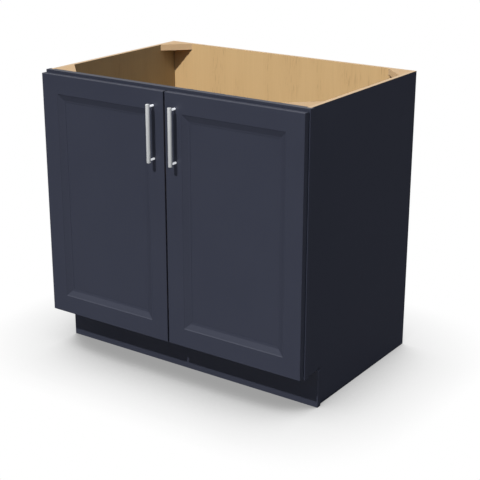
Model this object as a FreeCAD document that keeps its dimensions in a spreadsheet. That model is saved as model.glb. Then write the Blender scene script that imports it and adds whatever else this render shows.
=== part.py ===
"""Sink base cabinet with two full-overlay doors.

X runs to the right, Y from the doors to the back and Z up, in millimetres. The origin is on the
floor, in the middle of the cabinet's whole footprint, handles included. Every size is a cell of
the sheet called Sizes. Left-hand pieces are drawn, and right-hand ones are their mirror images.
"""
import FreeCAD, Part
import Sketcher
import os
from types import SimpleNamespace

V = FreeCAD.Vector
doc = FreeCAD.newDocument("sink_base_cabinet")

# ---------------------------------------------------------------- driving sizes
SIZES = {
    # carcass
    "cabinet_width": 914.4,
    "cabinet_height": 876.3,
    "cabinet_depth": 606.4,          # front of the face frame to the back face
    "side_thickness": 12.7,
    "floor_thickness": 12.7,
    "back_thickness": 12.7,
    "toe_height": 114.3,
    "toe_setback": 72.6,
    "toe_thickness": 15.9,
    "floor_dado_depth": 6.35,
    "back_rabbet_depth": 6.35,
    # face frame
    "frame_thickness": 19.05,
    "stile_width": 38.1,
    "top_rail_height": 38.1,
    "bottom_rail_height": 38.1,
    "frame_overhang": 6.35,          # the frame stands this far past each side panel
    "side_groove_depth": 6.35,       # groove in the stile's back for the side panel
    "tenon_length": 12.7,
    "tenon_thickness": 9.5,
    "tenon_shoulder": 6.35,
    "joint_clearance": 0.1,
    # corner gussets
    "front_gusset_leg": 82.0,
    "back_gusset_leg": 74.0,
    "gusset_thickness": 19.05,
    "gusset_hole_inset": 24.0,
    "gusset_hole_radius": 2.2,
    # doors
    "door_thickness": 20.0,
    "door_top_reveal": 7.3,
    "door_bottom_reveal": 6.2,
    "door_side_reveal": 2.7,
    "door_gap": 5.0,
    "bumper_gap": 2.5,               # air between the door's back and the face frame
    "flat_width": 56.0,              # flat face of the door frame, outside the bevel
    "bevel_width": 24.0,
    "bevel_depth": 8.3,
    "bevel_lead_width": 2.4,         # steep first facet of the bevel, beside the flat face
    "bevel_lead_depth": 1.5,
    "bevel_toe_width": 6.0,          # last facet of the bevel, which is flatter
    "bevel_toe_drop": 0.8,
    "panel_step": 0.6,               # the panel's face lies this far below the bevel
    "panel_thickness": 6.35,
    "panel_groove_depth": 9.5,
    "panel_slack": 1.5,              # room for the panel at the bottom of its groove
    "edge_easing": 1.5,
    "bumper_width": 9.0,
    "bumper_air": 0.2,
    "bumper_inset": 14.0,
    # handles
    "bar_diameter": 12.0,
    "bar_length": 167.0,
    "bar_end_chamfer": 0.8,
    "bar_standoff": 24.0,            # bar axis to the door's face
    "post_spacing": 152.4,
    "post_diameter": 6.0,
    "post_seat_depth": 5.0,          # how far the post goes into the bar
    "post_fit": 0.05,
    "post_thread_radius": 1.75,
    "post_thread_depth": 10.0,
    "handle_hole_radius": 2.2,       # through the door, for the handle's bolts
    "handle_inset": 35.6,            # from the door's meeting edge
    "handle_drop": 43.0,             # from the door's top edge to the upper post
    # hinge cups
    "hinge_inset": 95.0,             # from the door's end to the middle of the cup
    "cup_radius": 17.5,
    "cup_bore_depth": 13.0,
    "cup_edge_distance": 3.0,        # wood between the bore and the door's edge
    "cup_fit": 0.05,
    "cup_wall": 0.8,
    "cup_floor": 1.0,
    "wing_thickness": 1.0,
    "wing_offset": 9.5,              # screw line, from the middle of the cup
    "wing_width": 9.0,
    "wing_start": 12.5,              # ends of the wing, up and down from the middle of the cup
    "wing_reach": 27.5,
    "wing_hole_height": 22.5,
    "hinge_hole_radius": 2.0,
    # hinge pins and arms
    "pin_edge_distance": 7.4,
    "pin_depth": 9.0,                # from the door's back
    "pin_radius": 1.2,
    "pin_fit": 0.05,
    "lug_thickness": 2.2,
    "lug_outside": 1.5,              # from the pin's axis towards the door's edge
    "lug_inside": 3.8,               # from the pin's axis towards the middle of the cup
    "lug_air": 0.3,                  # beside the knuckle
    "knuckle_radius": 2.4,
    "knuckle_width": 7.0,
    "arm_thickness": 1.6,
    "arm_drop": 1.5,                 # the arm's lower run lies this far in front of the knuckle
    "arm_riser": 17.5,               # from the pin to the middle of the arm's upright run
    "arm_bend": 1.4,
    "plate_height": 40.0,
    "plate_depth": 17.0,
}


class Length:
    """A length in millimetres that also carries the sheet's expression it comes from."""

    def __init__(self, value, text):
        self.value = value
        self.text = text

    @staticmethod
    def of(number):
        """A length as it is, or a plain number turned into one."""
        return number if isinstance(number, Length) else Length(float(number), f"({number})")

    def __add__(self, other):
        other = Length.of(other)
        return Length(self.value + other.value, f"({self.text} + {other.text})")

    def __sub__(self, other):
        other = Length.of(other)
        return Length(self.value - other.value, f"({self.text} - {other.text})")

    def __mul__(self, number):
        return Length(self.value * number, f"({self.text} * ({number}))")

    def __truediv__(self, number):
        return Length(self.value / number, f"({self.text} / {number})")

    def __neg__(self):
        return self * -1

    __rmul__ = __mul__


sheet = doc.addObject("Spreadsheet::Sheet", "Sizes")
for row, (word, number) in enumerate(SIZES.items(), start=1):
    sheet.set(f"A{row}", word)
    sheet.set(f"B{row}", str(number))
    sheet.setAlias(f"B{row}", word)
doc.recompute()
s = SimpleNamespace(**{word: Length(number, f"<<Sizes>>.{word}") for word, number in SIZES.items()})

# ---------------------------------------------------------------- places that pieces share
# x is measured from the middle, y from the front of the face frame, z from the floor.
ZERO = Length.of(0)
HALF = s.cabinet_width / 2
FRONT_REACH = s.bumper_gap + s.door_thickness + s.bar_standoff + s.bar_diameter / 2
MIDDLE_Y = (s.cabinet_depth - FRONT_REACH) / 2
SIDE_OUTER = HALF - s.frame_overhang
SIDE_INNER = SIDE_OUTER - s.side_thickness
SIDE_FRONT = s.frame_thickness - s.side_groove_depth
BACK_FRONT = s.cabinet_depth - s.back_thickness
FLOOR_TOP = s.toe_height + s.bottom_rail_height
STILE_EDGE = HALF - s.stile_width
STILE_HEIGHT = s.cabinet_height - s.toe_height
DOOR_OUTER = HALF - s.door_side_reveal
DOOR_INNER = s.door_gap / 2
DOOR_WIDTH = DOOR_OUTER - DOOR_INNER
DOOR_BOTTOM = s.toe_height + s.door_bottom_reveal
DOOR_TOP = s.cabinet_height - s.door_top_reveal
DOOR_HEIGHT = DOOR_TOP - DOOR_BOTTOM
DOOR_MIDDLE = (DOOR_BOTTOM + DOOR_TOP) / 2
DOOR_BACK = -s.bumper_gap
DOOR_FACE = DOOR_BACK - s.door_thickness
MEMBER = s.flat_width + s.bevel_width
GROOVE_FRONT = s.bevel_depth + s.panel_step
GROOVE_BOTTOM = MEMBER - s.panel_groove_depth
PANEL_EDGE = GROOVE_BOTTOM + s.panel_slack
HINGE_HEIGHT = DOOR_BOTTOM + s.hinge_inset
CUP_INSET = s.cup_edge_distance + s.cup_radius
PIN_X = DOOR_OUTER - s.pin_edge_distance
PIN_Y = DOOR_BACK - s.pin_depth
LUG_START = s.knuckle_width / 2 + s.lug_air
LUG_END = LUG_START + s.lug_thickness
HANDLE_X = DOOR_INNER + s.handle_inset
BAR_AXIS = DOOR_FACE - s.bar_standoff
UPPER_POST = DOOR_TOP - s.handle_drop
LOWER_POST = UPPER_POST - s.post_spacing


# ---------------------------------------------------------------- drawing helpers
def tie(target, prop, length):
    """Bind one property of an object to a length's expression."""
    target.setExpression(prop, Length.of(length).text)


def place(piece, x, y, z):
    """Set a piece's own corner: x from the middle, y behind the frame's front, z from the floor."""
    tie(piece, ".Placement.Base.x", x)
    tie(piece, ".Placement.Base.y", y - MIDDLE_Y)
    tie(piece, ".Placement.Base.z", z)


def new_body(name):
    body = doc.addObject("PartDesign::Body", name)
    body.Label = name
    return body


def new_sketch(body, plane, name, offset=ZERO):
    """A sketch on one of the body's own planes, moved along its normal."""
    face = [o for o in body.Origin.OriginFeatures if o.Role == plane][0]
    sketch = body.newObject("Sketcher::SketchObject", f"{body.Name}_{name}")
    sketch.AttachmentSupport = (face, "")
    sketch.MapMode = "FlatFace"
    tie(sketch, ".AttachmentOffset.Base.z", offset)
    return sketch


def set_point(sketch, geo, point, x, y):
    """Hold a point of the sketch at a place given by two lengths."""
    for kind, length in (("DistanceX", x), ("DistanceY", y)):
        index = sketch.addConstraint(Sketcher.Constraint(kind, -1, 1, geo, point, length.value))
        tie(sketch, f"Constraints[{index}]", length)


def draw_outline(sketch, corners):
    """A closed outline of straight lines through corners given as pairs of lengths."""
    corners = [(Length.of(x), Length.of(y)) for x, y in corners]
    spots = [V(x.value, y.value, 0) for x, y in corners]
    first = sketch.GeometryCount
    count = len(spots)
    for i in range(count):
        sketch.addGeometry(Part.LineSegment(spots[i], spots[(i + 1) % count]), False)
    for i in range(count):
        after = first + (i + 1) % count
        sketch.addConstraint(Sketcher.Constraint("Coincident", first + i, 2, after, 1))
    for i, (x, y) in enumerate(corners):
        set_point(sketch, first + i, 1, x, y)


def draw_box(sketch, x0, y0, x1, y1):
    draw_outline(sketch, [(x0, y0), (x1, y0), (x1, y1), (x0, y1)])


def draw_circle(sketch, x, y, radius):
    x, y = Length.of(x), Length.of(y)
    circle = Part.Circle(V(x.value, y.value, 0), V(0, 0, 1), radius.value)
    geo = sketch.addGeometry(circle, False)
    set_point(sketch, geo, 3, x, y)
    index = sketch.addConstraint(Sketcher.Constraint("Radius", geo, radius.value))
    tie(sketch, f"Constraints[{index}]", radius)


def extrude(kind, body, sketch, length, both_ways, backwards):
    feature = body.newObject(f"PartDesign::{kind}", f"{sketch.Name}_{kind}")
    feature.Profile = sketch
    feature.Midplane = both_ways
    feature.Reversed = backwards
    tie(feature, "Length", length)
    body.Tip = feature
    doc.recompute()


def pad(body, sketch, length, both_ways=False, backwards=False):
    extrude("Pad", body, sketch, length, both_ways, backwards)


def pocket(body, sketch, length, both_ways=False, backwards=False):
    """Cut a sketch into the body, and stop if it takes nothing away."""
    before = body.Shape.Volume
    extrude("Pocket", body, sketch, length, both_ways, backwards)
    if not body.Shape.Volume < before:
        raise RuntimeError(f"{sketch.Name} takes nothing away")


def near(number, length, tolerance=0.01):
    return abs(number - Length.of(length).value) < tolerance


def dress_edges(body, kind, prop, length, test):
    """Fillet or chamfer the edges of the body's tip whose middle points pass a test."""
    base = body.Tip
    names = []
    for number, edge in enumerate(base.Shape.Edges, start=1):
        if test(edge.valueAt((edge.FirstParameter + edge.LastParameter) / 2)):
            names.append(f"Edge{number}")
    if not names:
        raise RuntimeError(f"no edge to dress on {body.Name}")
    feature = body.newObject(f"PartDesign::{kind}", f"{body.Name}_{kind}_{len(body.Group)}")
    feature.Base = (base, names)
    tie(feature, prop, length)
    body.Tip = feature
    doc.recompute()


def board(name, x, y, z):
    """A plain board, between the low and high places along each axis."""
    box = doc.addObject("Part::Box", name)
    box.Label = name
    for prop, (low, high) in (("Length", x), ("Width", y), ("Height", z)):
        tie(box, prop, high - low)
    place(box, x[0], y[0], z[0])
    return box


# ---------------------------------------------------------------- copies and keeping
pieces = []


def keep(piece):
    pieces.append(piece)
    return piece


def mirror_image(piece, name, normal):
    twin = doc.addObject("Part::Mirroring", name)
    twin.Label = name
    twin.Source = piece
    twin.Normal = normal
    return twin


def keep_both_sides(piece):
    """Keep a left-hand piece and its right-hand twin."""
    keep(piece)
    keep(mirror_image(piece, piece.Label.replace("left", "right"), V(1, 0, 0)))


def pair_up(name, lower, middle):
    """A loose piece and its mirror image above a level, as one compound of two solids."""
    upper = mirror_image(lower, f"{name}_upper", V(0, 0, 1))
    tie(upper, ".Base.z", middle)
    pair = doc.addObject("Part::Compound", name)
    pair.Label = name
    pair.Links = [lower, upper]
    return pair


# ---------------------------------------------------------------- face frame
def face_frame_stile():
    """Upright of the face frame, with a groove for the side panel and two mortises."""
    body = new_body("face_frame_left_stile")
    section = new_sketch(body, "XY_Plane", "section")
    groove_end = s.frame_overhang + s.side_thickness
    draw_outline(section, [
        (0, 0), (s.stile_width, 0), (s.stile_width, s.frame_thickness),
        (groove_end, s.frame_thickness), (groove_end, SIDE_FRONT),
        (s.frame_overhang, SIDE_FRONT), (s.frame_overhang, s.frame_thickness),
        (0, s.frame_thickness),
    ])
    pad(body, section, STILE_HEIGHT)
    front = (s.frame_thickness - s.tenon_thickness) / 2 - s.joint_clearance
    back = (s.frame_thickness + s.tenon_thickness) / 2 + s.joint_clearance
    margin = s.tenon_shoulder - s.joint_clearance
    for name, low, high in (("bottom", ZERO, s.bottom_rail_height),
                            ("top", STILE_HEIGHT - s.top_rail_height, STILE_HEIGHT)):
        mortise = new_sketch(body, "YZ_Plane", f"{name}_mortise", offset=s.stile_width)
        draw_box(mortise, front, low + margin, back, high - margin)
        pocket(body, mortise, s.tenon_length + s.joint_clearance)
    place(body, -HALF, ZERO, s.toe_height)
    keep_both_sides(body)


def face_frame_rail(name, height, bottom):
    """Cross rail of the face frame, with a tenon at each end."""
    rail = new_body(name)
    between = new_sketch(rail, "XZ_Plane", "between_stiles")
    draw_box(between, -STILE_EDGE, 0, STILE_EDGE, height)
    pad(rail, between, s.frame_thickness, backwards=True)
    tip = STILE_EDGE + s.tenon_length
    tenons = new_sketch(rail, "XZ_Plane", "tenons",
                        offset=(s.tenon_thickness - s.frame_thickness) / 2)
    draw_box(tenons, -tip, s.tenon_shoulder, tip, height - s.tenon_shoulder)
    pad(rail, tenons, s.tenon_thickness, backwards=True)
    place(rail, ZERO, ZERO, bottom)
    keep(rail)


# ---------------------------------------------------------------- box
def side_panel():
    """Side of the box, notched at the toe, with a dado for the floor and a rabbet for the back."""
    body = new_body("left_side_panel")
    outline = new_sketch(body, "YZ_Plane", "outline")
    notch = s.toe_setback + s.toe_thickness
    draw_outline(outline, [
        (notch, 0), (s.cabinet_depth, 0), (s.cabinet_depth, s.cabinet_height),
        (SIDE_FRONT, s.cabinet_height), (SIDE_FRONT, s.toe_height), (notch, s.toe_height),
    ])
    pad(body, outline, s.side_thickness)
    dado = new_sketch(body, "YZ_Plane", "floor_dado", offset=s.side_thickness)
    draw_box(dado, s.frame_thickness, FLOOR_TOP - s.floor_thickness, BACK_FRONT, FLOOR_TOP)
    pocket(body, dado, s.floor_dado_depth)
    rabbet = new_sketch(body, "YZ_Plane", "back_rabbet", offset=s.side_thickness)
    draw_box(rabbet, BACK_FRONT, 0, s.cabinet_depth, s.cabinet_height)
    pocket(body, rabbet, s.back_rabbet_depth)
    place(body, -SIDE_OUTER, ZERO, ZERO)
    keep_both_sides(body)


def flat_boards():
    """Floor, back and toe board. The first two reach into the side panels."""
    floor_half = SIDE_INNER + s.floor_dado_depth
    back_half = SIDE_INNER + s.back_rabbet_depth
    keep(board("cabinet_floor", (-floor_half, floor_half), (s.frame_thickness, BACK_FRONT),
               (FLOOR_TOP - s.floor_thickness, FLOOR_TOP)))
    keep(board("back_panel", (-back_half, back_half), (BACK_FRONT, s.cabinet_depth),
               (ZERO, s.cabinet_height)))
    keep(board("toe_kick_board", (-HALF, HALF),
               (s.toe_setback, s.toe_setback + s.toe_thickness), (ZERO, s.toe_height)))


def gusset(where, leg, corner_y, forward):
    """Triangular corner block with a hole for the worktop screw.

    Its square corner is at the side panel and corner_y. Forward is 1 where it runs to the back
    from there, and -1 where it runs to the front.
    """
    body = new_body(f"{where}_left_gusset")
    outline = new_sketch(body, "XY_Plane", "outline")
    draw_outline(outline, [(0, 0), (leg, 0), (0, leg * forward)])
    pad(body, outline, s.gusset_thickness)
    hole = new_sketch(body, "XY_Plane", "worktop_hole")
    draw_circle(hole, s.gusset_hole_inset, s.gusset_hole_inset * forward, s.gusset_hole_radius)
    pocket(body, hole, s.gusset_thickness, backwards=True)
    place(body, -SIDE_INNER, corner_y, s.cabinet_height - s.gusset_thickness)
    keep_both_sides(body)


# ---------------------------------------------------------------- doors
def bevel_line():
    """The bevel of a door frame member in section, from the flat face to the panel.

    The first length runs from the outer edge to the panel, the second from the face back.
    """
    return [
        (s.flat_width, ZERO), (s.flat_width + s.bevel_lead_width, s.bevel_lead_depth),
        (MEMBER - s.bevel_toe_width, s.bevel_depth - s.bevel_toe_drop), (MEMBER, s.bevel_depth),
    ]


def stick_profile():
    """Section of a door frame member: a flat face, the bevel and a panel groove."""
    groove_back = GROOVE_FRONT + s.panel_thickness + s.joint_clearance
    return [
        (ZERO, ZERO), *bevel_line(), (MEMBER, GROOVE_FRONT), (GROOVE_BOTTOM, GROOVE_FRONT),
        (GROOVE_BOTTOM, groove_back), (MEMBER, groove_back),
        (MEMBER, s.door_thickness), (ZERO, s.door_thickness),
    ]


def door_stile(name):
    """Upright of a door, as high as the door, with its outer arrises eased."""
    stile = new_body(name)
    section = new_sketch(stile, "XY_Plane", "section")
    draw_outline(section, stick_profile())
    pad(stile, section, DOOR_HEIGHT)

    def outside(middle):
        on_face = near(middle.y, 0) or near(middle.y, s.door_thickness)
        at_end = near(middle.z, 0) or near(middle.z, DOOR_HEIGHT)
        return on_face and (near(middle.x, 0) or (at_end and middle.x < s.flat_width.value))

    dress_edges(stile, "Fillet", "Radius", s.edge_easing, outside)
    return stile


def door_rail(name, is_top):
    """Cross rail of a door: the same section, coped over the stiles, with stub tenons.

    Its own origin is at the door's outer edge, and its long outer edge is at z = 0.
    """
    up = -1 if is_top else 1
    rail = new_body(name)
    section = new_sketch(rail, "YZ_Plane", "section", offset=s.flat_width)
    draw_outline(section, [(depth, across * up) for across, depth in stick_profile()])
    pad(rail, section, DOOR_WIDTH - s.flat_width * 2)

    def outside(middle):
        return near(middle.z, 0) and (near(middle.y, 0) or near(middle.y, s.door_thickness))

    dress_edges(rail, "Fillet", "Radius", s.edge_easing, outside)
    ends = (("outer", lambda across: across), ("inner", lambda across: DOOR_WIDTH - across))
    for end, across in ends:
        cope = new_sketch(rail, "XY_Plane", f"{end}_cope")
        draw_outline(cope, [(across(out), depth) for out, depth in bevel_line()] + [
            (across(MEMBER), s.door_thickness), (across(s.flat_width), s.door_thickness),
        ])
        pocket(rail, cope, MEMBER, backwards=not is_top)
        tenon = new_sketch(rail, "XY_Plane", f"{end}_tenon")
        draw_box(tenon, across(PANEL_EDGE), GROOVE_FRONT, across(MEMBER),
                 GROOVE_FRONT + s.panel_thickness)
        pad(rail, tenon, GROOVE_BOTTOM, backwards=is_top)
    return rail


def bore(stile, name, x, z, radius, depth):
    """Drill a door stile from its back."""
    hole = new_sketch(stile, "XZ_Plane", name, offset=-s.door_thickness)
    draw_circle(hole, x, z, radius)
    pocket(stile, hole, depth, backwards=True)


def door():
    """Two stiles, two rails and a loose centre panel."""
    hinge_stile = door_stile("left_door_hinge_stile")
    for name, height in (("lower", s.hinge_inset), ("upper", DOOR_HEIGHT - s.hinge_inset)):
        bore(hinge_stile, f"{name}_cup_bore", CUP_INSET, height, s.cup_radius, s.cup_bore_depth)
    place(hinge_stile, -DOOR_OUTER, DOOR_FACE, DOOR_BOTTOM)
    keep_both_sides(hinge_stile)

    # turned half round about y, its section faces the hinge stile and its own foot is at the top
    meeting_stile = door_stile("left_door_meeting_stile")
    for name, drop in (("upper", s.handle_drop), ("lower", s.handle_drop + s.post_spacing)):
        bore(meeting_stile, f"{name}_bolt_hole", s.handle_inset, drop, s.handle_hole_radius,
             s.door_thickness)
    meeting_stile.Placement = FreeCAD.Placement(V(0, 0, 0), FreeCAD.Rotation(V(0, 1, 0), 180))
    place(meeting_stile, -DOOR_INNER, DOOR_FACE, DOOR_TOP)
    keep_both_sides(meeting_stile)

    for name, is_top, z in (("left_door_top_rail", True, DOOR_TOP),
                            ("left_door_bottom_rail", False, DOOR_BOTTOM)):
        rail = door_rail(name, is_top)
        place(rail, -DOOR_OUTER, DOOR_FACE, z)
        keep_both_sides(rail)

    panel_face = DOOR_FACE + GROOVE_FRONT
    keep_both_sides(board(
        "left_door_panel", (PANEL_EDGE - DOOR_OUTER, -DOOR_INNER - PANEL_EDGE),
        (panel_face, panel_face + s.panel_thickness), (DOOR_BOTTOM + PANEL_EDGE, DOOR_TOP - PANEL_EDGE)))


def door_bumpers():
    """Two small soft pads on the back of the door, which meet the frame's rails."""
    x = -DOOR_INNER - s.bumper_inset
    z = DOOR_BOTTOM + s.bumper_inset
    half = s.bumper_width / 2
    lower = board("left_lower_bumper", (x - half, x + half),
                  (DOOR_BACK, DOOR_BACK + s.bumper_gap - s.bumper_air), (z - half, z + half))
    keep_both_sides(pair_up("left_door_bumpers", lower, DOOR_MIDDLE))


# ---------------------------------------------------------------- handles
def handle_bar():
    """Round bar with blind holes for its posts."""
    bar = new_body("left_handle_bar")
    section = new_sketch(bar, "XY_Plane", "section")
    draw_circle(section, 0, 0, s.bar_diameter / 2)
    pad(bar, section, s.bar_length)

    def at_end(middle):
        return near(middle.z, 0) or near(middle.z, s.bar_length)

    dress_edges(bar, "Chamfer", "Size", s.bar_end_chamfer, at_end)
    past_post = (s.bar_length - s.post_spacing) / 2
    seats = new_sketch(bar, "XZ_Plane", "post_seats", offset=-s.bar_diameter / 2)
    for z in (past_post, past_post + s.post_spacing):
        draw_circle(seats, 0, z, s.post_diameter / 2 + s.post_fit)
    pocket(bar, seats, s.post_seat_depth, backwards=True)
    place(bar, -HANDLE_X, BAR_AXIS, LOWER_POST - past_post)
    keep_both_sides(bar)


def handle_posts():
    """Round posts between the door and the bar, with a threaded hole at the door's end."""
    seat = BAR_AXIS + s.bar_diameter / 2 - s.post_seat_depth
    post = new_body("left_lower_post")
    section = new_sketch(post, "XZ_Plane", "section")
    draw_circle(section, 0, 0, s.post_diameter / 2)
    pad(post, section, DOOR_FACE - seat)
    thread = new_sketch(post, "XZ_Plane", "thread")
    draw_circle(thread, 0, 0, s.post_thread_radius)
    pocket(post, thread, s.post_thread_depth, backwards=True)
    place(post, -HANDLE_X, DOOR_FACE, LOWER_POST)
    keep_both_sides(pair_up("left_handle_posts", post, (LOWER_POST + UPPER_POST) / 2))


# ---------------------------------------------------------------- hinges
def hinge_cups():
    """Cups let into the door, with two screw wings and two lugs that hold the pin."""
    cup = new_body("left_lower_cup")
    outer_radius = s.cup_radius - s.cup_fit
    outer = new_sketch(cup, "XZ_Plane", "outer")
    draw_circle(outer, 0, 0, outer_radius)
    pad(cup, outer, s.cup_bore_depth)
    wings = new_sketch(cup, "XZ_Plane", "wings")
    half = s.wing_width / 2
    for up in (-1, 1):
        draw_box(wings, s.wing_offset - half, s.wing_start * up, s.wing_offset + half, s.wing_reach * up)
    pad(cup, wings, s.wing_thickness, backwards=True)
    hollow = new_sketch(cup, "XZ_Plane", "hollow", offset=-s.wing_thickness)
    draw_circle(hollow, 0, 0, outer_radius - s.cup_wall)
    pocket(cup, hollow, s.cup_bore_depth - s.cup_floor + s.wing_thickness, backwards=True)

    pin_x = s.pin_edge_distance - CUP_INSET
    inner_floor = s.cup_bore_depth - s.cup_floor
    lugs = new_sketch(cup, "XZ_Plane", "lugs", offset=inner_floor)
    for up in (-1, 1):
        draw_box(lugs, pin_x - s.lug_outside, LUG_START * up, pin_x + s.lug_inside, LUG_END * up)
    pad(cup, lugs, inner_floor - s.pin_depth + s.pin_radius * 2, backwards=True)
    eye = new_sketch(cup, "XY_Plane", "pin_holes")
    draw_circle(eye, pin_x, -s.pin_depth, s.pin_radius)
    pocket(cup, eye, LUG_END * 2, both_ways=True)
    holes = new_sketch(cup, "XZ_Plane", "screw_holes", offset=-s.wing_thickness)
    for up in (-1, 1):
        draw_circle(holes, s.wing_offset, s.wing_hole_height * up, s.hinge_hole_radius)
    pocket(cup, holes, s.wing_thickness, backwards=True)
    place(cup, CUP_INSET - DOOR_OUTER, DOOR_BACK, HINGE_HEIGHT)
    keep_both_sides(pair_up("left_hinge_cups", cup, DOOR_MIDDLE))


def hinge_pins():
    pin = new_body("left_lower_pin")
    section = new_sketch(pin, "XY_Plane", "section")
    draw_circle(section, 0, 0, s.pin_radius)
    pad(pin, section, LUG_END * 2, both_ways=True)
    place(pin, -PIN_X, PIN_Y, HINGE_HEIGHT)
    keep_both_sides(pair_up("left_hinge_pins", pin, DOOR_MIDDLE))


def hinge_arms():
    """Bent arms: a knuckle in the cup, a goose-neck over the stile, and a plate on its edge.

    An arm's own origin is at the front of its lower run, in line with the pin.
    """
    arm = new_body("left_lower_arm")
    thick = s.arm_thickness
    pin_y = s.arm_drop + thick / 2
    frame_y = pin_y + s.pin_depth + s.bumper_gap
    plate_y = frame_y - thick
    plate_x = PIN_X - STILE_EDGE
    near_x = s.arm_riser - thick / 2
    far_x = s.arm_riser + thick / 2
    strip = new_sketch(arm, "XY_Plane", "strip")
    draw_outline(strip, [
        (0, 0), (far_x, 0), (far_x, plate_y), (plate_x + thick, plate_y),
        (plate_x + thick, frame_y), (near_x, frame_y), (near_x, thick), (0, thick),
    ])
    pad(arm, strip, s.knuckle_width, both_ways=True)

    def outer_bend(middle):
        return (near(middle.x, far_x) and near(middle.y, 0)
                or near(middle.x, near_x) and near(middle.y, frame_y))

    def inner_bend(middle):
        return (near(middle.x, near_x) and near(middle.y, thick)
                or near(middle.x, far_x) and near(middle.y, plate_y))

    dress_edges(arm, "Fillet", "Radius", s.arm_bend + thick, outer_bend)
    dress_edges(arm, "Fillet", "Radius", s.arm_bend, inner_bend)
    plate = new_sketch(arm, "XY_Plane", "plate")
    draw_box(plate, plate_x, frame_y, plate_x + thick, frame_y + s.plate_depth)
    pad(arm, plate, s.plate_height, both_ways=True)
    knuckle = new_sketch(arm, "XY_Plane", "knuckle")
    draw_circle(knuckle, 0, pin_y, s.knuckle_radius)
    pad(arm, knuckle, s.knuckle_width, both_ways=True)
    eye = new_sketch(arm, "XY_Plane", "eye")
    draw_circle(eye, 0, pin_y, s.pin_radius + s.pin_fit)
    pocket(arm, eye, s.knuckle_width, both_ways=True)
    hole = new_sketch(arm, "YZ_Plane", "screw_hole", offset=plate_x + thick)
    draw_circle(hole, frame_y + s.plate_depth / 2, 0, s.hinge_hole_radius)
    pocket(arm, hole, thick)
    place(arm, -PIN_X, PIN_Y - pin_y, HINGE_HEIGHT)
    keep_both_sides(pair_up("left_hinge_arms", arm, DOOR_MIDDLE))


# ---------------------------------------------------------------- the whole cabinet
face_frame_stile()
face_frame_rail("face_frame_top_rail", s.top_rail_height, s.cabinet_height - s.top_rail_height)
face_frame_rail("face_frame_bottom_rail", s.bottom_rail_height, s.toe_height)
side_panel()
flat_boards()
gusset("front", s.front_gusset_leg, s.frame_thickness, 1)
gusset("back", s.back_gusset_leg, BACK_FRONT, -1)
door()
door_bumpers()
handle_bar()
handle_posts()
hinge_cups()
hinge_pins()
hinge_arms()
doc.recompute()

# ---------------------------------------------------------------- checks and files
faults = [o.Name for o in doc.Objects if set(o.State) & {"Invalid", "Error"}]
if faults:
    raise RuntimeError(f"failed objects: {faults}")
for piece in pieces:
    if piece.Shape.isNull() or not piece.Shape.isValid() or not piece.Shape.Solids:
        raise RuntimeError(f"{piece.Label} has no valid solid")

os.makedirs("parts", exist_ok=True)
for piece in pieces:
    piece.Shape.exportStep(f"parts/{piece.Label}.step")
print(len(pieces), "pieces")
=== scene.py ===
"""Looks of the sink base cabinet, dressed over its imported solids.

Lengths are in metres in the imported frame: X to the right, Y from the doors to the back, Z up, with
the floor at zero. Each sub-assembly is a class that builds its own meshes and dresses them.
"""

import logging
import math
from dataclasses import dataclass, replace
from enum import Enum
from typing import Any, Iterable, Optional, Union

import bmesh
import bpy
from mathutils import Matrix, Quaternion, Vector


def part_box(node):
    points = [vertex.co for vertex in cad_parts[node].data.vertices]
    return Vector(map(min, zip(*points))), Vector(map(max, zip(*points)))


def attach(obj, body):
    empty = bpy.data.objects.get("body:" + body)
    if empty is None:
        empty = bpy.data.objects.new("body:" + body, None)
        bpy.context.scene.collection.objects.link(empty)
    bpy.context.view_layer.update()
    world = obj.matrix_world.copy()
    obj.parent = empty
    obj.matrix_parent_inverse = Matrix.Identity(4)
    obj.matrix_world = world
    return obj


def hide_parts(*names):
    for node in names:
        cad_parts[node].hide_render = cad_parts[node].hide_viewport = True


logging.basicConfig(level=logging.INFO, format="%(message)s")
log = logging.getLogger("cabinet")

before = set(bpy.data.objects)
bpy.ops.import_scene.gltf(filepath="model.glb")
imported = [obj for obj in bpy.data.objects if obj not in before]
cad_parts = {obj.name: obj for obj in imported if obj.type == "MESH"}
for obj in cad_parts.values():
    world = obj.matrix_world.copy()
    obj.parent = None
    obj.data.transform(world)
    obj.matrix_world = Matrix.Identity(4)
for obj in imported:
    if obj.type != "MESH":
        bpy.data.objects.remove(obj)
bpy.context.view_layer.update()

MM = 0.001
SMOOTH_BELOW = math.radians(40.0)
MERGE_DISTANCE = 1e-6
RGBA = tuple[float, float, float, float]
Pair = tuple[float, float]
Triple = tuple[float, float, float]
WHITE: RGBA = (1.0, 1.0, 1.0, 1.0)


class Axis(Enum):
    """A direction that grain or thickness runs along."""

    X = 0
    Y = 1
    Z = 2


class Side(Enum):
    """Which door a piece belongs to, with the sign of its x."""

    LEFT = -1
    RIGHT = 1

    @property
    def word(self) -> str:
        """The side's name as the nodes spell it."""
        return self.name.lower()

    @property
    def door(self) -> str:
        """The body that the side's door pieces ride on."""
        return f"{self.word}_door"


def srgb(red: float, green: float, blue: float) -> RGBA:
    """Turn a colour as a screen shows it into the linear one that shaders use.

    Args:
        red: Red from 0 to 255.
        green: Green from 0 to 255.
        blue: Blue from 0 to 255.

    Returns:
        The linear colour with an alpha of 1.
    """
    def line(channel: float) -> float:
        """One channel, by the screen's own curve."""
        share = channel / 255
        return share / 12.92 if share <= 0.04045 else ((share + 0.055) / 1.055) ** 2.4

    return (line(red), line(green), line(blue), 1.0)


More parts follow.
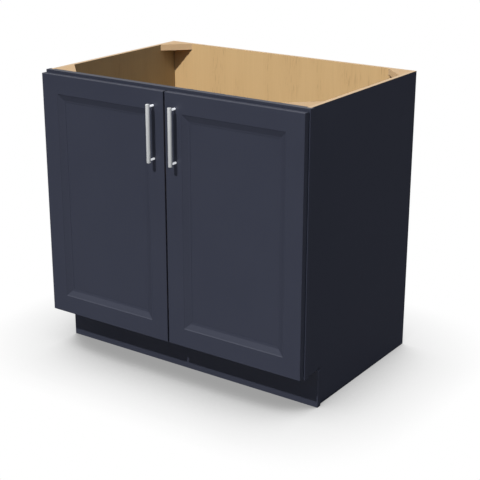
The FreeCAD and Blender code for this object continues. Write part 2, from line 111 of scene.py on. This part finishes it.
# ------------------------------------------------------------------ shader maths
class Signal:
    """A socket of a node tree that takes part in Python arithmetic."""

    def __init__(self, sheet: "NodeSheet", socket: bpy.types.NodeSocket) -> None:
        """Hold a socket and the tree that it belongs to.

        Args:
            sheet: The tree that new Math nodes are added to.
            socket: The output to work with.
        """
        self.sheet = sheet
        self.socket = socket

    def math(self, operation: str, *others: Any) -> "Signal":
        """Add a Math node that starts from this signal.

        Args:
            operation: The Math node's operation.
            *others: Its further values or signals, in order.

        Returns:
            The node's result.
        """
        return self.sheet.node("ShaderNodeMath", {"operation": operation},
                               dict(enumerate((self, *others))))

    def __add__(self, other: Any) -> "Signal":
        """Sum."""
        return self.math("ADD", other)

    def __mul__(self, other: Any) -> "Signal":
        """Product."""
        return self.math("MULTIPLY", other)

    def __sub__(self, other: Any) -> "Signal":
        """Difference."""
        return self.math("SUBTRACT", other)

    def __rsub__(self, other: float) -> "Signal":
        """Difference from a plain number."""
        return self.sheet.node("ShaderNodeMath", {"operation": "SUBTRACT"}, {0: other, 1: self})

    def __gt__(self, other: Any) -> "Signal":
        """1 where this is more than the other, else 0."""
        return self.math("GREATER_THAN", other)

    __radd__ = __add__
    __rmul__ = __mul__

    def size(self) -> "Signal":
        """The value without its sign."""
        return self.math("ABSOLUTE")

    def at_least(self, other: Any) -> "Signal":
        """The larger of this and the other."""
        return self.math("MAXIMUM", other)

    def spread(self, low: float, high: float, start: float = 0.0, end: float = 1.0) -> "Signal":
        """Map a range of this signal to another range, and stop at its ends.

        Args:
            low: Where the range begins.
            high: Where the range ends.
            start: What low becomes.
            end: What high becomes.

        Returns:
            The mapped signal.
        """
        return self.sheet.node("ShaderNodeMapRange", {"clamp": True},
                               {0: self, 1: low, 2: high, 3: start, 4: end})


class NodeSheet:
    """A node tree with one method that adds any node."""

    def __init__(self, tree: bpy.types.NodeTree) -> None:
        """Start from an empty tree.

        Args:
            tree: The tree of a material or world.
        """
        self.tree = tree
        tree.nodes.clear()

    def node(self, kind: str, settings: Optional[dict[str, Any]] = None,
             inputs: Optional[dict[Any, Any]] = None, output: Union[int, str] = 0) -> Signal:
        """Add a node, set it up and feed it.

        Args:
            kind: The node's type.
            settings: Its own settings, by name. The settings called stops are a ramp's colours.
            inputs: Values or signals for its sockets, by name or number.
            output: The output to return, by name or number.

        Returns:
            The chosen output.
        """
        node = self.tree.nodes.new(kind)
        for name, value in (settings or {}).items():
            if name == "stops":
                self._set_stops(node, value)
            else:
                setattr(node, name, value)
        for name, value in (inputs or {}).items():
            if isinstance(value, Signal):
                self.tree.links.new(value.socket, node.inputs[name])
            else:
                node.inputs[name].default_value = value
        if not node.outputs:
            return Signal(self, node.inputs[0])
        return Signal(self, node.outputs[output])

    @staticmethod
    def _set_stops(node: bpy.types.Node, stops: Iterable[tuple[float, RGBA]]) -> None:
        """Give a Color Ramp its stops.

        Args:
            node: The ramp.
            stops: Places and colours, from the start.
        """
        ramp = node.color_ramp
        stops = list(stops)
        while len(ramp.elements) < len(stops):
            ramp.elements.new(1.0)
        for element, (place, colour) in zip(ramp.elements, stops):
            element.position = place
            element.color = colour

    def mix(self, share: Any, first: Any, second: Any, blend: str = "MIX") -> Signal:
        """Mix two colours.

        Args:
            share: How much of the second, from 0 to 1.
            first: The first colour.
            second: The second colour.
            blend: The way of mixing.

        Returns:
            The mixed colour.
        """
        return self.node("ShaderNodeMix", {"data_type": "RGBA", "blend_type": blend},
                         {0: share, 6: first, 7: second}, output=2)

    def shaded(self, colour: RGBA, shade: Signal) -> Signal:
        """A colour made lighter or darker by a signal near 1."""
        grey = self.node("ShaderNodeCombineXYZ", inputs={0: shade, 1: shade, 2: shade})
        return self.mix(1.0, colour, grey, "MULTIPLY")

    def own(self, output: str, axis: Axis) -> Signal:
        """One part of the piece's own coordinates, or of its own normal.

        Args:
            output: Object for the coordinates, Normal for the normal.
            axis: The part.

        Returns:
            The part.
        """
        return self.split(self.node("ShaderNodeTexCoord", output=output), axis)

    def split(self, vector: Signal, axis: Axis) -> Signal:
        """One part of a vector."""
        return self.node("ShaderNodeSeparateXYZ", inputs={0: vector}, output=axis.value)

    def noise(self, scale: Triple, detail: float, roughness: float = 0.55,
              distortion: float = 0.0) -> Signal:
        """A noise pattern on the piece's own coordinates.

        Args:
            scale: How many pattern units a metre holds, along X, Y and Z.
            detail: How many finer layers it has.
            roughness: How strong the finer layers are.
            distortion: How much it curls.

        Returns:
            The pattern, from 0 to 1.
        """
        own = self.node("ShaderNodeTexCoord", output="Object")
        place = self.node("ShaderNodeMapping", inputs={"Vector": own, "Scale": scale})
        return self.node("ShaderNodeTexNoise", {"noise_dimensions": "3D"},
                         {"Vector": place, "Scale": 1.0, "Detail": detail,
                          "Roughness": roughness, "Distortion": distortion})


def new_material(name: str) -> tuple[bpy.types.Material, NodeSheet]:
    """Make an empty material.

    Args:
        name: The material's name.

    Returns:
        The material and its tree.
    """
    material = bpy.data.materials.new(name)
    material.use_nodes = True
    return material, NodeSheet(material.node_tree)


def surface(sheet: NodeSheet, inputs: dict[str, Any]) -> None:
    """Close a material with a Principled surface.

    Args:
        sheet: The material's tree.
        inputs: Values or signals for the surface's sockets.
    """
    shader = sheet.node("ShaderNodeBsdfPrincipled", inputs=inputs)
    sheet.node("ShaderNodeOutputMaterial", inputs={"Surface": shader})


def even(scale: float) -> Triple:
    """The scale of a pattern that is the same every way."""
    return (scale, scale, scale)


def stretch(along: Axis, across: float, lengthwise: float) -> Triple:
    """The scale of a pattern that is drawn out along one axis.

    Args:
        along: The axis that the grain runs along.
        across: Pattern units a metre across the grain.
        lengthwise: Pattern units a metre along it.

    Returns:
        The scale along X, Y and Z.
    """
    return tuple(lengthwise if axis is along else across for axis in Axis)


# ------------------------------------------------------------------ finishes
@dataclass(frozen=True)
class DarkPaint:
    """Satin paint sprayed on wood, faintly streaked by the grain below it.

    Scales are in pattern units a metre. A pair of them is across and along the grain.
    """

    colour: RGBA = srgb(55, 58, 71)
    streak: float = 0.10
    streak_scale: Pair = (420.0, 9.0)
    cloud: float = 0.07
    cloud_scale: float = 5.0
    peel_scale: float = 700.0
    peel_height: float = 0.03 * MM
    streak_depth: float = 0.6
    roughness: float = 0.36
    roughness_range: float = 0.16
    gloss: float = 0.4

    def colours(self, sheet: NodeSheet, grain: Axis) -> tuple[Signal, Signal, Signal]:
        """Draw the paint's colour, roughness and height.

        Args:
            sheet: The tree to draw in.
            grain: The way that the wood under the paint runs.

        Returns:
            The colour, the roughness and the height of the paint's skin.
        """
        lines = sheet.noise(stretch(grain, *self.streak_scale), detail=3.0)
        clouds = sheet.noise(even(self.cloud_scale), detail=2.0)
        peel = sheet.noise(even(self.peel_scale), detail=1.0)
        shade = (lines - 0.5) * self.streak + (clouds - 0.5) * self.cloud + 1.0
        roughness = (clouds - 0.5) * self.roughness_range + self.roughness
        return sheet.shaded(self.colour, shade), roughness, peel + lines * self.streak_depth

    def material(self, name: str, grain: Axis) -> bpy.types.Material:
        """Make the paint for pieces whose grain runs one way.

        Args:
            name: The material's name.
            grain: The grain's axis.

        Returns:
            The material.
        """
        material, sheet = new_material(name)
        colour, roughness, height = self.colours(sheet, grain)
        skin = sheet.node("ShaderNodeBump",
                          inputs={"Height": height, "Distance": self.peel_height})
        surface(sheet, {"Base Color": colour, "Roughness": roughness, "Normal": skin,
                        "Specular IOR Level": self.gloss})
        return material


@dataclass(frozen=True)
class Plywood:
    """Clear-coated birch plywood, with its layers showing on the edges.

    Scales are in pattern units a metre, across and along the grain. A range is where a pattern
    starts to count and where it counts in full.
    """

    light: RGBA = srgb(230, 194, 140)
    dark: RGBA = srgb(221, 184, 131)
    pore: RGBA = srgb(196, 158, 110)
    edge_light: RGBA = srgb(229, 198, 158)
    edge_dark: RGBA = srgb(205, 172, 130)
    figure_scale: Pair = (9.0, 1.3)
    line_scale: Pair = (240.0, 5.0)
    pore_scale: Pair = (230.0, 20.0)
    figure_share: float = 0.6
    tone_range: Pair = (0.34, 0.68)
    pore_range: Pair = (0.55, 0.68)
    pore_patches: Pair = (0.47, 0.58)
    marking: float = 0.7
    ply: float = 1.8 * MM
    ply_waviness: float = 0.35
    ply_range: Pair = (0.2, 0.3)
    ply_contrast: float = 0.55
    edge_streak: float = 0.3
    face_range: Pair = (0.5, 0.6)
    roughness: float = 0.5
    roughness_range: float = 0.3
    gloss: float = 0.25
    grain_height: float = 0.06 * MM
    pore_depth: float = 0.8

    def colours(self, sheet: NodeSheet, grain: Axis,
                thickness: Axis) -> tuple[Signal, Signal, Signal]:
        """Draw the wood's colour, roughness and height.

        Args:
            sheet: The tree to draw in.
            grain: The axis of the face's grain.
            thickness: The axis through the board.

        Returns:
            The colour, the roughness and the height of the grain.
        """
        figure = sheet.noise(stretch(grain, *self.figure_scale), detail=3.0, roughness=0.5,
                             distortion=0.6)
        lines = sheet.noise(stretch(grain, *self.line_scale), detail=4.0, roughness=0.6)
        pores = sheet.noise(stretch(grain, *self.pore_scale), detail=3.0, roughness=0.6)
        share = figure * self.figure_share + lines * (1 - self.figure_share)
        face = sheet.mix(share.spread(*self.tone_range), self.light, self.dark)
        marks = pores.spread(*self.pore_range) * figure.spread(*self.pore_patches)
        face = sheet.mix(marks * self.marking, face, self.pore)

        through = sheet.own("Object", thickness) * (1 / self.ply) + lines * self.ply_waviness
        layer = (through.math("FRACT") - 0.5).size().spread(*self.ply_range)
        edge = sheet.mix(layer * self.ply_contrast + lines * self.edge_streak,
                         self.edge_light, self.edge_dark)
        on_face = sheet.own("Normal", thickness).size().spread(*self.face_range)
        roughness = (share - 0.5) * self.roughness_range + self.roughness
        return sheet.mix(on_face, edge, face), roughness, lines - marks * self.pore_depth

    def material(self, name: str, grain: Axis, thickness: Axis) -> bpy.types.Material:
        """Make the wood for boards that lie one way.

        Args:
            name: The material's name.
            grain: The axis of the face's grain.
            thickness: The axis through the board.

        Returns:
            The material.
        """
        material, sheet = new_material(name)
        colour, roughness, height = self.colours(sheet, grain, thickness)
        relief = sheet.node("ShaderNodeBump",
                            inputs={"Height": height, "Distance": self.grain_height})
        surface(sheet, {"Base Color": colour, "Roughness": roughness, "Normal": relief,
                        "Specular IOR Level": self.gloss})
        return material


@dataclass(frozen=True)
class PaintedSide:
    """A side panel: bare plywood inside and on its edges, and paint on its outer face."""

    paint: DarkPaint
    # The inside wood; the carcass gives it the darkened lining, whose darker tone is painted shade.
    wood: Plywood
    outer_x: float
    paint_margin: float = 2 * MM

    def material(self, name: str) -> bpy.types.Material:
        """Make the two-faced finish.

        Args:
            name: The material's name.

        Returns:
            The material.
        """
        material, sheet = new_material(name)
        paint, paint_rough, paint_height = self.paint.colours(sheet, Axis.Z)
        wood, wood_rough, wood_height = self.wood.colours(sheet, Axis.Z, Axis.X)
        outward = sheet.own("Object", Axis.X).size() * sheet.own("Normal", Axis.X).size()
        outside = outward > self.outer_x - self.paint_margin
        colour = sheet.mix(outside, wood, paint)
        roughness = wood_rough + outside * (paint_rough - wood_rough)
        wood_relief = wood_height * self.wood.grain_height
        paint_relief = paint_height * self.paint.peel_height
        height = wood_relief + outside * (paint_relief - wood_relief)
        relief = sheet.node("ShaderNodeBump", inputs={"Height": height, "Distance": 1.0})
        surface(sheet, {"Base Color": colour, "Roughness": roughness, "Normal": relief,
                        "Specular IOR Level": self.paint.gloss})
        return material


@dataclass(frozen=True)
class BrushedMetal:
    """Metal with a fine drawn-out brushing.

    Scales are in pattern units a metre. A pair of them is across and along the brushing. The glow is
    painted reflection: emission, not a lamp, that makes small polished pieces look as if they mirror
    a bright room.
    """

    colour: RGBA
    roughness: float
    metallic: float = 0.45
    brush: float = 0.12
    brush_scale: Pair = (2600.0, 60.0)
    cloud: float = 0.06
    cloud_scale: float = 60.0
    roughness_range: float = 0.2
    line_height: float = 0.01 * MM
    painted_reflection_glow: float = 0.0

    def material(self, name: str, along: Axis) -> bpy.types.Material:
        """Make the metal for pieces brushed one way.

        Args:
            name: The material's name.
            along: The way that the brushing runs.

        Returns:
            The material.
        """
        material, sheet = new_material(name)
        lines = sheet.noise(stretch(along, *self.brush_scale), detail=2.0)
        clouds = sheet.noise(even(self.cloud_scale), detail=2.0)
        shade = (lines - 0.5) * self.brush + (clouds - 0.5) * self.cloud + 1.0
        relief = sheet.node("ShaderNodeBump",
                            inputs={"Height": lines, "Distance": self.line_height})
        # The emission paints on a glow as painted reflection; it is no lamp.
        surface(sheet, {"Base Color": sheet.shaded(self.colour, shade),
                        "Metallic": self.metallic, "Normal": relief,
                        "Roughness": (lines - 0.5) * self.roughness_range + self.roughness,
                        "Emission Color": self.colour, "Emission Strength": self.painted_reflection_glow})
        return material


@dataclass(frozen=True)
class SoftPad:
    """Clear, slightly milky soft plastic."""

    colour: RGBA = srgb(214, 214, 208)
    cloud: RGBA = srgb(182, 182, 178)
    cloud_share: float = 0.3
    cloud_scale: float = 300.0
    roughness: float = 0.25
    roughness_range: float = 0.2

    def material(self, name: str) -> bpy.types.Material:
        """Make the pads' plastic.

        Args:
            name: The material's name.

        Returns:
            The material.
        """
        material, sheet = new_material(name)
        clouds = sheet.noise(even(self.cloud_scale), detail=3.0)
        milky = sheet.mix(clouds * self.cloud_share, self.colour, self.cloud)
        surface(sheet, {"Base Color": milky,
                        "Roughness": clouds * self.roughness_range + self.roughness})
        return material


# ------------------------------------------------------------------ making pieces
def dress(nodes: Iterable[str], material: bpy.types.Material) -> None:
    """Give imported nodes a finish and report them.

    Args:
        nodes: The nodes' names.
        material: Their finish.
    """
    for name in nodes:
        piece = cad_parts[name]
        for place in piece.material_slots:
            place.material = material
        log.info("dressed %s with %s", name, material.name)


def finish_piece(shape: bmesh.types.BMesh, name: str, body: str,
                 material: bpy.types.Material, instead_of: Iterable[str] = ()) -> None:
    """Turn a finished shape into a piece of the cabinet.

    Args:
        shape: The shape, in place.
        name: The piece's name.
        body: The body that it rides on.
        material: Its finish.
        instead_of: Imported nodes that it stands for.
    """
    bmesh.ops.recalc_face_normals(shape, faces=shape.faces[:])
    for face in shape.faces:
        face.smooth = True
    for edge in shape.edges:
        edge.smooth = edge.is_manifold and edge.calc_face_angle(math.pi) < SMOOTH_BELOW
    mesh = bpy.data.meshes.new(name)
    shape.to_mesh(mesh)
    shape.free()
    mesh.materials.append(material)
    piece = bpy.data.objects.new(name, mesh)
    bpy.context.scene.collection.objects.link(piece)
    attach(piece, body)
    if instead_of:
        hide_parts(*instead_of)
    log.info("built %s on %s", name, body)


def aim(direction: Vector) -> Matrix:
    """A turn that takes +Z to a direction."""
    return direction.normalized().to_track_quat("Z", "Y").to_matrix().to_4x4()


def add_turned(shape: bmesh.types.BMesh, start: Vector, direction: Vector,
               profile: Iterable[Pair], steps: int = 32) -> None:
    """Spin a profile round an axis into a closed solid.

    Args:
        shape: The shape to add to.
        start: A point on the axis, from which the profile is measured.
        direction: The axis.
        profile: Pairs of radius and distance along the axis. It starts and ends on the axis.
        steps: How many steps the spin takes.
    """
    earlier = set(shape.verts)
    points = [shape.verts.new((radius, 0.0, along)) for radius, along in profile]
    edges = [shape.edges.new(pair) for pair in zip(points, points[1:])]
    bmesh.ops.spin(shape, geom=points + edges, cent=(0, 0, 0), axis=(0, 0, 1),
                   angle=math.tau, steps=steps, use_merge=True)
    turned = [vertex for vertex in shape.verts if vertex not in earlier]
    bmesh.ops.transform(shape, matrix=Matrix.Translation(start) @ aim(direction), verts=turned)
    bmesh.ops.remove_doubles(shape, verts=turned, dist=MERGE_DISTANCE)


def rounded(radius: float, height: float, *degrees: float) -> list[Pair]:
    """Points of a quarter of an ellipse, as pairs of reach and fall below its middle."""
    turns = (math.radians(step) for step in degrees)
    return [(radius * math.sin(turn), -height * math.cos(turn)) for turn in turns]


def screw_head(radius: float, height: float, shank: float, length: float) -> list[Pair]:
    """The half section of a pan-head screw, from its top to its tip.

    Args:
        radius: The head's radius.
        height: The head's height.
        shank: The shank's radius.
        length: The shank's length.

    Returns:
        Pairs of radius and distance below the head's seat, which is at zero.
    """
    drive = [(0.0, -height * 0.45), (radius * 0.22, -height * 0.5),
             (radius * 0.34, -height * 0.95)]
    dome = rounded(radius, height, 30, 50, 68, 80)
    rim = [(radius, -height * 0.1), (radius, 0.0)]
    tip = [(shank, 0.0), (shank, length * 0.85), (0.0, length)]
    return [*drive, *dome, *rim, *tip]


# ------------------------------------------------------------------ sub-assemblies
@dataclass
class Carcass:
    """Face frame, box, gussets and toe board."""

    paint: DarkPaint
    wood: Plywood
    # Plywood darkened as painted shade, for the side panels' inner faces.
    shade_darkened_lining: Plywood
    block: Plywood
    outer_x: float = 450.85 * MM

    def build(self) -> None:
        """Dress every board of the carcass."""
        upright = self.paint.material("carcass_paint_upright", Axis.Z)
        level = self.paint.material("carcass_paint_level", Axis.X)
        dress(["face_frame_left_stile", "face_frame_right_stile"], upright)
        dress(["face_frame_top_rail", "face_frame_bottom_rail", "toe_kick_board"], level)
        # The inner faces take the darkened lining, which is painted shade.
        two_faced = PaintedSide(self.paint, self.shade_darkened_lining, self.outer_x)
        dress(["left_side_panel", "right_side_panel"], two_faced.material("painted_side_panel"))
        dress(["back_panel"], self.wood.material("birch_back", Axis.Z, Axis.Y))
        dress(["cabinet_floor"], self.wood.material("birch_floor", Axis.X, Axis.Z))
        dress([f"{place}_{side.word}_gusset" for place in ("front", "back") for side in Side],
              self.block.material("birch_gusset", Axis.X, Axis.Z))


@dataclass
class Door:
    """One door: its frame and panel, and the soft pads on its back."""

    side: Side
    paint: DarkPaint
    pad: SoftPad

    def build(self) -> None:
        """Dress the door's members and pads."""
        word = self.side.word
        upright = self.paint.material(f"{word}_door_paint_upright", Axis.Z)
        level = self.paint.material(f"{word}_door_paint_level", Axis.X)
        dress([f"{word}_door_{part}" for part in ("hinge_stile", "meeting_stile", "panel")],
              upright)
        dress([f"{word}_door_{part}" for part in ("top_rail", "bottom_rail")], level)
        dress([f"{word}_door_bumpers"], self.pad.material(f"{word}_pad_plastic"))


@dataclass
class BarHandle:
    """A round bar on two posts, bolted through the door."""

    side: Side
    metal: BrushedMetal
    post_metal: BrushedMetal
    bolt_metal: BrushedMetal
    skin: float = 0.02 * MM
    end_rounding: float = 0.9 * MM
    bar_steps: int = 48
    post_radius: float = 3.0 * MM
    post_easing: float = 0.25 * MM
    bolt_head_radius: float = 4.4 * MM
    bolt_head_height: float = 1.9 * MM
    bolt_radius: float = 1.7 * MM
    bolt_grip: float = 9.0 * MM

    def build(self) -> None:
        """Build the bar, the posts and the bolts behind the door."""
        word = self.side.word
        self._bar(self.metal.material(f"{word}_handle_nickel", Axis.Z))
        self._posts(self.post_metal.material(f"{word}_post_nickel", Axis.Y))
        self._bolts(self.bolt_metal.material(f"{word}_handle_bolt_zinc", Axis.Y))

    def _post_places(self) -> tuple[float, float, float, list[float]]:
        """Where the posts stand.

        Returns:
            Their x, the y of their ends at the bar and at the door, and their heights.
        """
        low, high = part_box(f"{self.side.word}_handle_posts")
        heights = [low.z + self.post_radius, high.z - self.post_radius]
        return (low.x + high.x) / 2, low.y, high.y, heights

    def _bar(self, material: bpy.types.Material) -> None:
        """Build the bar, with eased ends.

        Args:
            material: Its finish.
        """
        node = f"{self.side.word}_handle_bar"
        low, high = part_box(node)
        length = high.z - low.z
        ease = self.end_rounding
        core = (high.x - low.x) / 2 - self.skin - ease
        near = [(core + reach, ease + fall)
                for reach, fall in rounded(ease, ease, 0, 22, 45, 68, 90)]
        far = [(reach, length - along) for reach, along in reversed(near)]
        start = Vector(((low.x + high.x) / 2, (low.y + high.y) / 2, low.z))
        shape = bmesh.new()
        add_turned(shape, start, Vector((0, 0, 1)), [(0.0, 0.0), *near, *far, (0.0, length)],
                   self.bar_steps)
        finish_piece(shape, f"{node}_nickel", self.side.door, material, [node])

    def _posts(self, material: bpy.types.Material) -> None:
        """Build the posts, each with its edge eased at the door.

        Args:
            material: Their finish.
        """
        x, bar_y, door_y, heights = self._post_places()
        length, radius, ease = door_y - bar_y, self.post_radius, self.post_easing
        profile = [(0.0, 0.0), (radius, 0.0), (radius, length - ease),
                   (radius - ease, length), (0.0, length)]
        shape = bmesh.new()
        for z in heights:
            add_turned(shape, Vector((x, bar_y, z)), Vector((0, 1, 0)), profile)
        node = f"{self.side.word}_handle_posts"
        finish_piece(shape, f"{node}_nickel", self.side.door, material, [node])

    def _bolts(self, material: bpy.types.Material) -> None:
        """Build the bolts that hold the posts, from the door's back.

        Args:
            material: Their finish.
        """
        x, _, door_y, heights = self._post_places()
        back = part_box(f"{self.side.word}_door_meeting_stile")[1].y
        profile = screw_head(self.bolt_head_radius, self.bolt_head_height, self.bolt_radius,
                             back - door_y + self.bolt_grip)
        shape = bmesh.new()
        for z in heights:
            add_turned(shape, Vector((x, back, z)), Vector((0, -1, 0)), profile)
        finish_piece(shape, f"{self.side.word}_handle_bolts", self.side.door,
                     material)


@dataclass
class ConcealedHinges:
    """The two hinges of a door, with their screws."""

    side: Side
    metal: BrushedMetal
    screw_metal: BrushedMetal
    wing_offset: float = 9.5 * MM
    wing_reach: float = 27.5 * MM
    wing_hole_height: float = 22.5 * MM
    head_radius: float = 3.3 * MM
    cup_head_height: float = 1.1 * MM
    plate_head_height: float = 1.9 * MM
    shank_radius: float = 1.8 * MM
    screw_length: float = 12.0 * MM
    screw_steps: int = 24
    plate_depth: float = 17.0 * MM

    def build(self) -> None:
        """Dress the hinge's solids and build its screws."""
        word = self.side.word
        plate = self.metal.material(f"{word}_hinge_nickel", Axis.Z)
        dress([f"{word}_hinge_cups", f"{word}_hinge_pins", f"{word}_hinge_arms"], plate)
        zinc = self.screw_metal.material(f"{word}_hinge_screw_zinc", Axis.Z)
        self._cup_screws(zinc)
        self._plate_screws(zinc)

    def _levels(self) -> list[float]:
        """The heights of the two hinges."""
        low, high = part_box(f"{self.side.word}_hinge_cups")
        return [low.z + self.wing_reach, high.z - self.wing_reach]

    def _cup_screws(self, material: bpy.types.Material) -> None:
        """Build the screws in the cups' wings.

        Args:
            material: Their finish.
        """
        low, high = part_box(f"{self.side.word}_hinge_cups")
        x = (low.x + high.x) / 2 - self.side.value * self.wing_offset
        shape = bmesh.new()
        profile = screw_head(self.head_radius, self.cup_head_height, self.shank_radius,
                             self.screw_length)
        for level in self._levels():
            for up in (-1, 1):
                seat = Vector((x, high.y, level + up * self.wing_hole_height))
                add_turned(shape, seat, Vector((0, -1, 0)), profile, self.screw_steps)
        finish_piece(shape, f"{self.side.word}_cup_screws", self.side.door,
                     material)

    def _plate_screws(self, material: bpy.types.Material) -> None:
        """Build the screws that hold the plates to the face frame.

        Args:
            material: Their finish.
        """
        low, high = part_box(f"{self.side.word}_hinge_arms")
        x = high.x if self.side is Side.LEFT else low.x
        y = high.y - self.plate_depth / 2
        shape = bmesh.new()
        profile = screw_head(self.head_radius, self.plate_head_height, self.shank_radius,
                             self.screw_length)
        for level in self._levels():
            add_turned(shape, Vector((x, y, level)), Vector((self.side.value, 0, 0)), profile,
                       self.screw_steps)
        finish_piece(shape, f"{self.side.word}_plate_screws", "carcass", material)


# ------------------------------------------------------------------ studio
@dataclass
class Studio:
    """Pale floor, soft light from ahead and above, and the camera."""

    camera_at: Triple = (1.9721, -2.7835, 1.5466)
    camera_azimuth: float = 34.650
    camera_elevation: float = 19.280
    camera_roll: float = 0.115
    field_of_view: float = 23.094
    sensor_width: float = 36.0
    far_clip: float = 100.0
    sun_from: Triple = (0.01, -1.0, 1.085)
    sun_strength: float = 2.85
    sun_width: float = 1.2
    horizon: float = 0.10
    zenith: float = 0.43
    fill_tint: RGBA = (0.93, 0.98, 1.14, 1.0)
    mirrored_horizon: float = 0.08
    mirrored_rise: Pair = (0.12, 0.45)
    mirrored_floor: float = 0.04
    floor_bounce: float = 0.58
    floor_half: float = 12.0
    shade_reach: float = 0.32
    shade_samples: int = 24
    shade_tones: tuple[Pair, ...] = (
        (0.30, 0.336), (0.38, 0.357), (0.46, 0.428), (0.54, 0.580), (0.62, 0.675), (0.70, 0.763),
        (0.78, 0.843), (0.86, 0.895), (0.94, 0.940), (0.995, 1.0))

    def build(self) -> None:
        """Set the view, the lights, the floor and the camera."""
        bpy.context.scene.view_settings.view_transform = "Standard"
        self._sky()
        self._sun()
        self._floor()
        self._camera()
        log.info("studio is set")

    @staticmethod
    def _rays(sheet: NodeSheet) -> tuple[Signal, Signal]:
        """Tell the kinds of ray apart.

        Args:
            sheet: The tree of the world or the floor.

        Returns:
            1 for rays that see the background straight or through glass, and 1 for mirrored rays.
        """
        camera, glass, mirrored = (sheet.node("ShaderNodeLightPath", output=f"Is {kind} Ray")
                                   for kind in ("Camera", "Transmission", "Glossy"))
        return camera.at_least(glass), mirrored

    def _sky(self) -> None:
        """Make the world: white behind the object, and a fill light that is stronger overhead."""
        world = bpy.data.worlds.new("studio_sky")
        world.use_nodes = True
        bpy.context.scene.world = world
        sheet = NodeSheet(world.node_tree)
        seen, mirrored = self._rays(sheet)
        height = sheet.split(sheet.node("ShaderNodeTexCoord", output="Generated"), Axis.Z)
        fill = height.spread(0.0, 1.0, self.horizon, self.zenith)
        in_gloss = height.spread(*self.mirrored_rise, self.mirrored_horizon, 1.0)
        strength = fill + mirrored * (in_gloss - fill)
        strength = strength + seen * (1 - strength)
        tint = sheet.mix(seen.at_least(mirrored), self.fill_tint, WHITE)
        sky = sheet.node("ShaderNodeBackground", inputs={"Color": tint, "Strength": strength})
        sheet.node("ShaderNodeOutputWorld", inputs={"Surface": sky})

    def _sun(self) -> None:
        """Make the lamp that stands ahead of the doors."""
        lamp = bpy.data.lights.new("front_light", "SUN")
        lamp.energy = self.sun_strength
        lamp.angle = math.radians(self.sun_width)
        sun = bpy.data.objects.new("front_light", lamp)
        sun.rotation_euler = Vector(self.sun_from).to_track_quat("Z", "Y").to_euler()
        bpy.context.scene.collection.objects.link(sun)

    def _floor(self) -> None:
        """Make the floor, pale, with painted shade round the object's foot: camera rays see emission
        toned by ambient occlusion.
        """
        shape = bmesh.new()
        bmesh.ops.create_grid(shape, x_segments=1, y_segments=1, size=self.floor_half)
        mesh = bpy.data.meshes.new("studio_floor")
        shape.to_mesh(mesh)
        shape.free()
        material, sheet = new_material("pale_floor")
        # Painted shade: ambient occlusion sets the tone that the floor emits to the camera.
        near = sheet.node("ShaderNodeAmbientOcclusion", {"samples": self.shade_samples},
                          {"Distance": self.shade_reach}, output="AO")
        stops = [(place, (tone, tone, tone, 1.0)) for place, tone in self.shade_tones]
        tone = sheet.node("ShaderNodeValToRGB", {"stops": stops}, {0: near})
        seen, mirrored = self._rays(sheet)
        strength = seen + mirrored * self.mirrored_floor
        shade_toned_emission = sheet.node("ShaderNodeEmission", inputs={"Color": tone, "Strength": strength})
        matt = sheet.node("ShaderNodeBsdfDiffuse",
                          inputs={"Color": (self.floor_bounce,) * 3 + (1.0,)})
        both = sheet.node("ShaderNodeMixShader",
                          inputs={0: seen.at_least(mirrored), 1: matt, 2: shade_toned_emission})
        sheet.node("ShaderNodeOutputMaterial", inputs={"Surface": both})
        mesh.materials.append(material)
        floor = bpy.data.objects.new("studio_floor", mesh)
        bpy.context.scene.collection.objects.link(floor)

    def _camera(self) -> None:
        """Place the camera where the photograph was taken from."""
        lens = bpy.data.cameras.new("camera")
        lens.sensor_fit = "HORIZONTAL"
        lens.sensor_width = self.sensor_width
        lens.lens = lens.sensor_width / 2 / math.tan(math.radians(self.field_of_view / 2))
        lens.clip_end = self.far_clip
        azimuth = math.radians(self.camera_azimuth)
        elevation = math.radians(self.camera_elevation)
        back = Vector((math.sin(azimuth) * math.cos(elevation),
                       -math.cos(azimuth) * math.cos(elevation), math.sin(elevation)))
        camera = bpy.data.objects.new("camera", lens)
        camera.location = self.camera_at
        roll = Quaternion((0, 0, 1), math.radians(self.camera_roll))
        camera.rotation_euler = (back.to_track_quat("Z", "Y") @ roll).to_euler()
        bpy.context.scene.collection.objects.link(camera)
        bpy.context.scene.camera = camera


def main() -> None:
    """Build and dress the cabinet, part by part."""
    paint = DarkPaint()
    wood = Plywood()
    # The lining is the plywood darkened as painted shade, for the side panels' inner faces that
    # stand in the box's shade.
    shade_darkened_lining = replace(wood, light=srgb(172, 151, 114), dark=srgb(163, 142, 106),
                     pore=srgb(146, 126, 93))
    block = replace(wood, light=srgb(217, 182, 136), dark=srgb(208, 172, 127),
                    pore=srgb(188, 151, 108), edge_light=srgb(241, 207, 162),
                    edge_dark=srgb(217, 181, 136))
    nickel = BrushedMetal(srgb(232, 233, 231), roughness=0.36, metallic=0.35)
    # The posts' near-white colour and their glow are painted reflection, so they stay white even
    # where the bar shades them.
    post_nickel = BrushedMetal(srgb(250, 252, 255), roughness=0.3, metallic=0.2, brush=0.04,
                               painted_reflection_glow=0.5)
    hinge_nickel = BrushedMetal(srgb(196, 195, 190), roughness=0.28, brush=0.06)
    zinc = BrushedMetal(srgb(190, 191, 190), roughness=0.3, brush=0.05)
    parts: list[Any] = [Carcass(paint, wood, shade_darkened_lining, block)]
    for side in Side:
        parts += [Door(side, paint, SoftPad()), BarHandle(side, nickel, post_nickel, zinc),
                  ConcealedHinges(side, hinge_nickel, zinc)]
    parts.append(Studio())
    for part in parts:
        part.build()
        log.info("finished %s", type(part).__name__)


if __name__ == "__main__":
    main()
